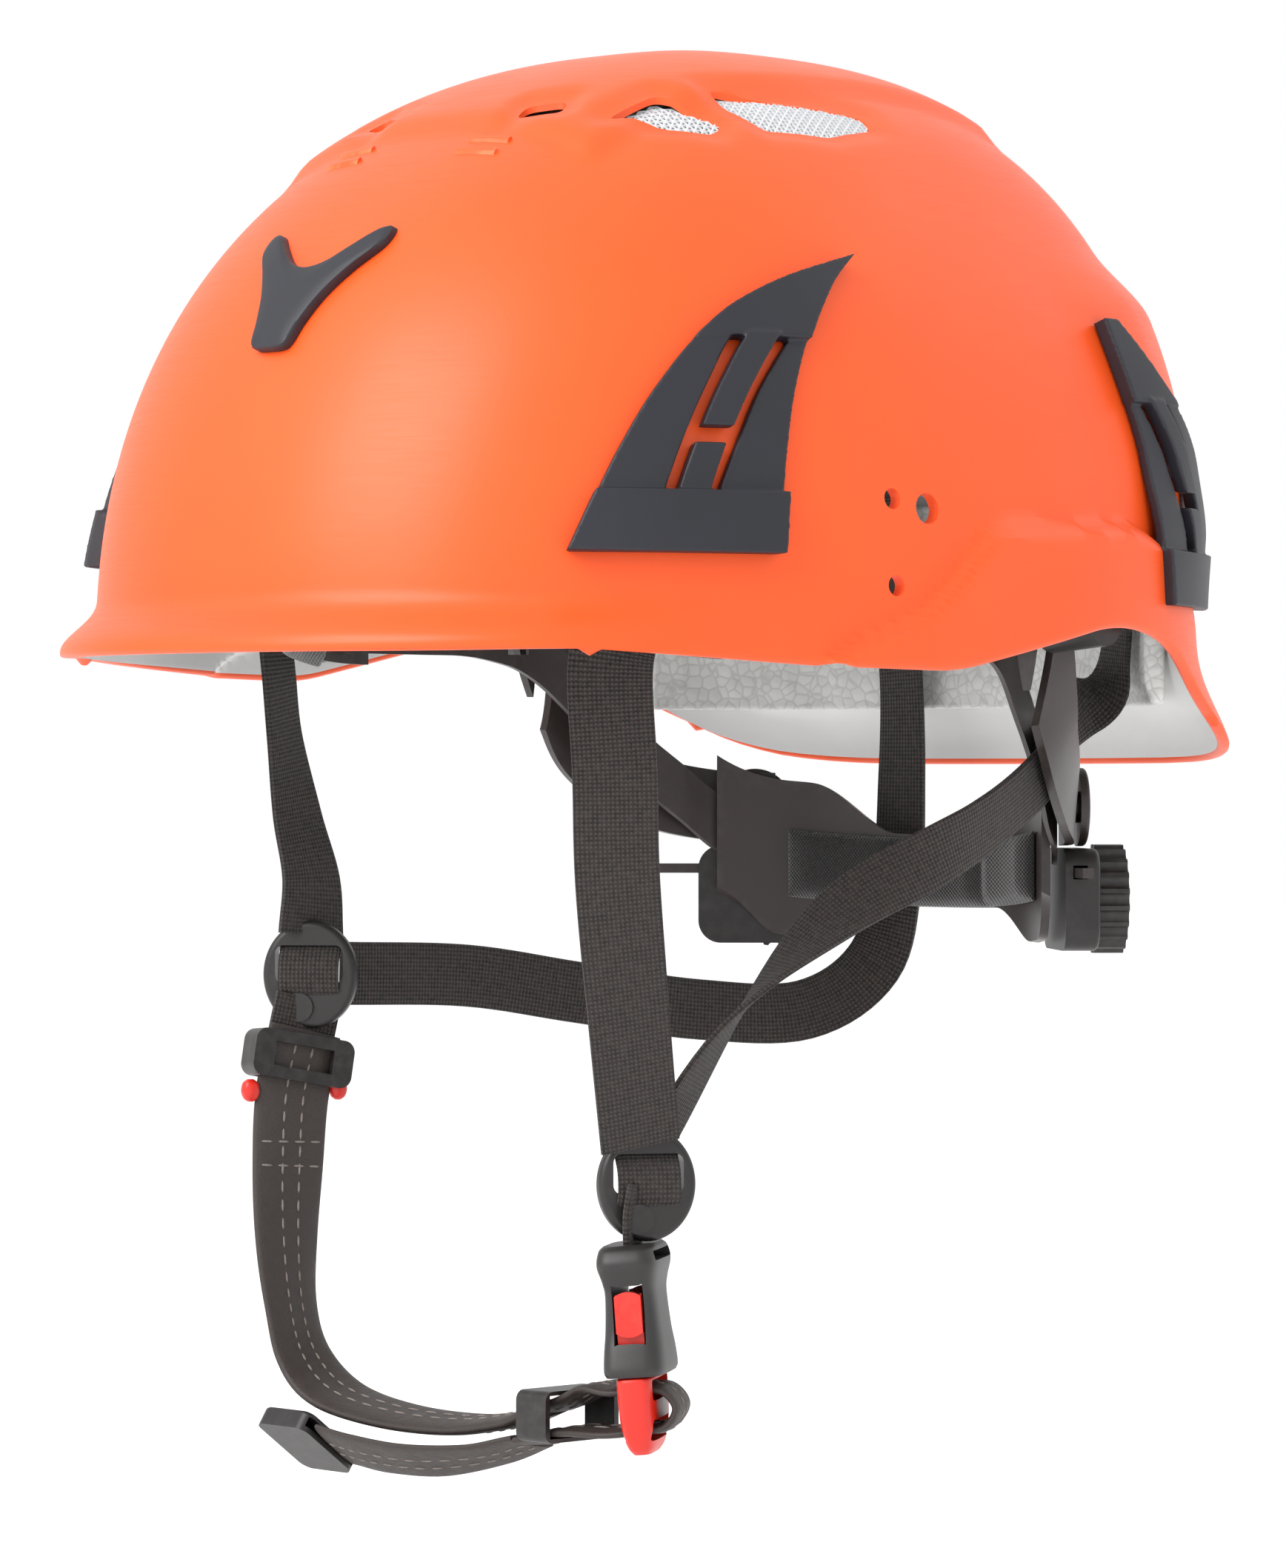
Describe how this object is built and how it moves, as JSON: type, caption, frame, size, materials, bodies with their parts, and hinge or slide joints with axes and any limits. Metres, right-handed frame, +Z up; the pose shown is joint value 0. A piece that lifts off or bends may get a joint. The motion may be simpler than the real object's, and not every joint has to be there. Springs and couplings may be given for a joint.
{
  "type": "climbing helmet",
  "caption": "Hard-shell climbing helmet with crown vents, lamp clips, a geared head ring, nape arms and a buckled chin strap harness.",
  "frame": {"origin": "centre of the head opening in the plane of the side rim, where the head meets the helmet", "axes": "+Z up through the crown, the helmet's front faces -Y, the wearer's left is +X"},
  "size_m": [0.232, 0.304, 0.3537],
  "materials": {
    "shell_orange": "satin ABS with light scratches",
    "dark_plastic": "fine-grained moulded nylon",
    "strap_web": "woven polyester webbing",
    "foam": "moulded bead foam",
    "mesh": "fine moulded grille",
    "pad_textile": "brushed comfort foam",
    "ring_plastic": "satin flexible polymer",
    "red_plastic": "satin red acetal",
    "buckle_grey": "moulded acetal",
    "chin_leather": "padded synthetic leather with stitching"
  },
  "bodies": {
    "helmet": {"shell": "shell_orange", "eps_liner": "foam", "rear_foam": "foam", "crown_pad": "pad_textile", "vent_mesh_left": "mesh", "vent_mesh_right": "mesh", "front_badge": "dark_plastic", "clip_front_left": "dark_plastic", "clip_front_right": "dark_plastic", "clip_rear_left": "dark_plastic", "clip_rear_right": "dark_plastic", "headband": "ring_plastic", "brow_pad": "pad_textile", "temple_disc_left": "ring_plastic", "temple_disc_right": "ring_plastic", "arm_peg_left": "dark_plastic", "arm_peg_right": "dark_plastic", "anchor_front_left": "dark_plastic", "anchor_front_right": "dark_plastic", "anchor_rear_left": "dark_plastic", "anchor_rear_right": "dark_plastic", "front_strap_left": "strap_web", "front_strap_right": "strap_web", "rear_strap_left": "strap_web", "rear_strap_right": "strap_web", "divider_left": "dark_plastic", "divider_right": "dark_plastic", "buckle_body": "buckle_grey", "buckle_loop": "strap_web", "side_frame": "buckle_grey", "chin_strap": "chin_leather"},
    "nape": {"nape_cradle": "ring_plastic", "nape_pad": "pad_textile", "side_band_left": "ring_plastic", "side_band_right": "ring_plastic", "ratchet_housing_left": "dark_plastic", "ratchet_housing_right": "dark_plastic", "nape_arm_left": "ring_plastic", "nape_arm_right": "ring_plastic", "snap_disc_left": "ring_plastic", "snap_disc_right": "ring_plastic"},
    "knob_left": {"ratchet_knob_left": "dark_plastic", "pinion_left": "dark_plastic"},
    "knob_right": {"ratchet_knob_right": "dark_plastic", "pinion_right": "dark_plastic"},
    "rack_left": {"rack_left": "ring_plastic"},
    "rack_right": {"rack_right": "ring_plastic"},
    "tongue": {"buckle_tongue": "red_plastic", "chin_strap_loop": "chin_leather", "chin_strap_tail": "chin_leather", "strap_keeper": "dark_plastic", "strap_end_clip": "dark_plastic"},
    "prong_front": {"release_prong_front": "red_plastic"},
    "prong_rear": {"release_prong_rear": "red_plastic"}
  },
  "joints": [
    {"name": "nape_tilt", "type": "hinge", "parent": "helmet", "child": "nape", "pos_m": [0, -0.033, 0.009], "axis": [1, 0, 0], "range_deg": [-2.4, 1.2]},
    {"name": "knob_left_spin", "type": "hinge", "parent": "nape", "child": "knob_left", "pos_m": [0.04916, 0.09786, -0.0615], "axis": [0.6626, 0.749, 0], "range_deg": [-75, 75]},
    {"name": "knob_right_spin", "type": "hinge", "parent": "nape", "child": "knob_right", "pos_m": [-0.04916, 0.09786, -0.0615], "axis": [-0.6626, 0.749, 0], "range_deg": [-75, 75]},
    {"name": "rack_left_slide", "type": "slide", "parent": "nape", "child": "rack_left", "axis": [-0.749, 0.6626, 0], "range_m": [-0.006, 0.006]},
    {"name": "rack_right_slide", "type": "slide", "parent": "nape", "child": "rack_right", "axis": [0.749, 0.6626, 0], "range_m": [-0.006, 0.006]},
    {"name": "tongue_slide", "type": "slide", "parent": "helmet", "child": "tongue", "axis": [0.0598, 0.0399, -0.9974], "range_m": [0, 0.022]},
    {"name": "prong_front_flex", "type": "hinge", "parent": "tongue", "child": "prong_front", "pos_m": [0.05719, -0.06524, -0.17202], "axis": [-0.827, -0.5576, -0.0719], "range_deg": [0, 8], "stiffness_Nm_per_rad": 0.12},
    {"name": "prong_rear_flex", "type": "hinge", "parent": "tongue", "child": "prong_rear", "pos_m": [0.04646, -0.04932, -0.17203], "axis": [-0.827, -0.5576, -0.0719], "range_deg": [-8, 0], "stiffness_Nm_per_rad": 0.12}
  ],
  "couplings": [
    {"joint": "rack_left_slide", "follows": "knob_left_spin", "m_per_rad": -0.0045},
    {"joint": "rack_right_slide", "follows": "knob_right_spin", "m_per_rad": 0.0045}
  ]
}
